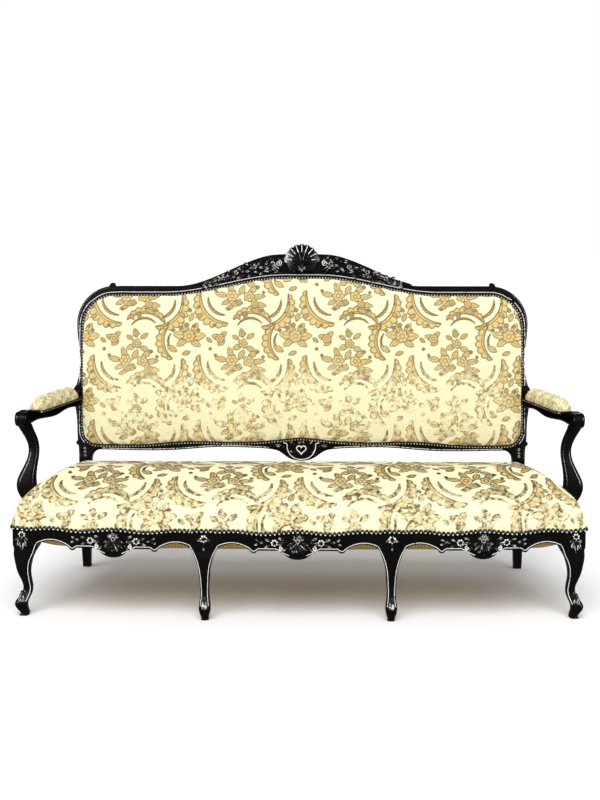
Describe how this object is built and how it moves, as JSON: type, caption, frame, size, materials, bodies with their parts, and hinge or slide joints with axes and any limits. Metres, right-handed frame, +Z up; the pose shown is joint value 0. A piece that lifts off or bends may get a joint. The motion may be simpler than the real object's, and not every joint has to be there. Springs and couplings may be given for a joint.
{
  "type": "settee",
  "caption": "Long upholstered settee with an ebonised carved frame, arched back, padded open arms, sprung seat and cabriole legs, for several sitters",
  "frame": {"origin": "on the floor under the middle of the settee's box", "axes": "+X to the viewer's right, the front faces -Y, +Z up"},
  "size_m": [1.7758, 0.7436, 1.1305],
  "materials": {
    "ebonised_wood": "glossy black, rubbed white on the mouldings",
    "bare_wood": "sawn and planed beech",
    "damask": "cut velvet damask, cream and old gold",
    "lining": "plain tan lining cloth",
    "stuffing": "curled hair under wadding",
    "canvas": "jute",
    "steel": "plain"
  },
  "bodies": {
    "root": {"crest_rail": "ebonised_wood", "crest_shell": "ebonised_wood", "lower_back_rail": "ebonised_wood", "right_back_post": "ebonised_wood", "left_back_post": "ebonised_wood", "centre_front_rail": "ebonised_wood", "right_front_rail": "ebonised_wood", "left_front_rail": "ebonised_wood", "right_inner_front_leg": "ebonised_wood", "left_inner_front_leg": "ebonised_wood", "right_corner_front_leg": "ebonised_wood", "left_corner_front_leg": "ebonised_wood", "right_side_seat_rail": "ebonised_wood", "left_side_seat_rail": "ebonised_wood", "right_arm": "ebonised_wood", "left_arm": "ebonised_wood", "right_arm_support": "ebonised_wood", "left_arm_support": "ebonised_wood", "rear_seat_rail": "bare_wood", "right_seat_brace": "bare_wood", "left_seat_brace": "bare_wood", "right_front_corner_block": "bare_wood", "left_front_corner_block": "bare_wood", "right_rear_corner_block": "bare_wood", "left_rear_corner_block": "bare_wood", "joint_pegs": "bare_wood", "seat_cover": "damask", "back_cover": "damask", "right_arm_pad_cover": "damask", "left_arm_pad_cover": "damask", "seat_dust_cover": "lining", "outside_back_cover": "lining", "seat_stuffing": "stuffing", "back_stuffing": "stuffing", "right_arm_pad_stuffing": "stuffing", "left_arm_pad_stuffing": "stuffing", "seat_canvas": "canvas", "back_canvas": "canvas", "seat_webbing": "canvas", "back_webbing": "canvas", "seat_springs": "steel", "corner_block_screws": "steel"}
  },
  "joints": []
}
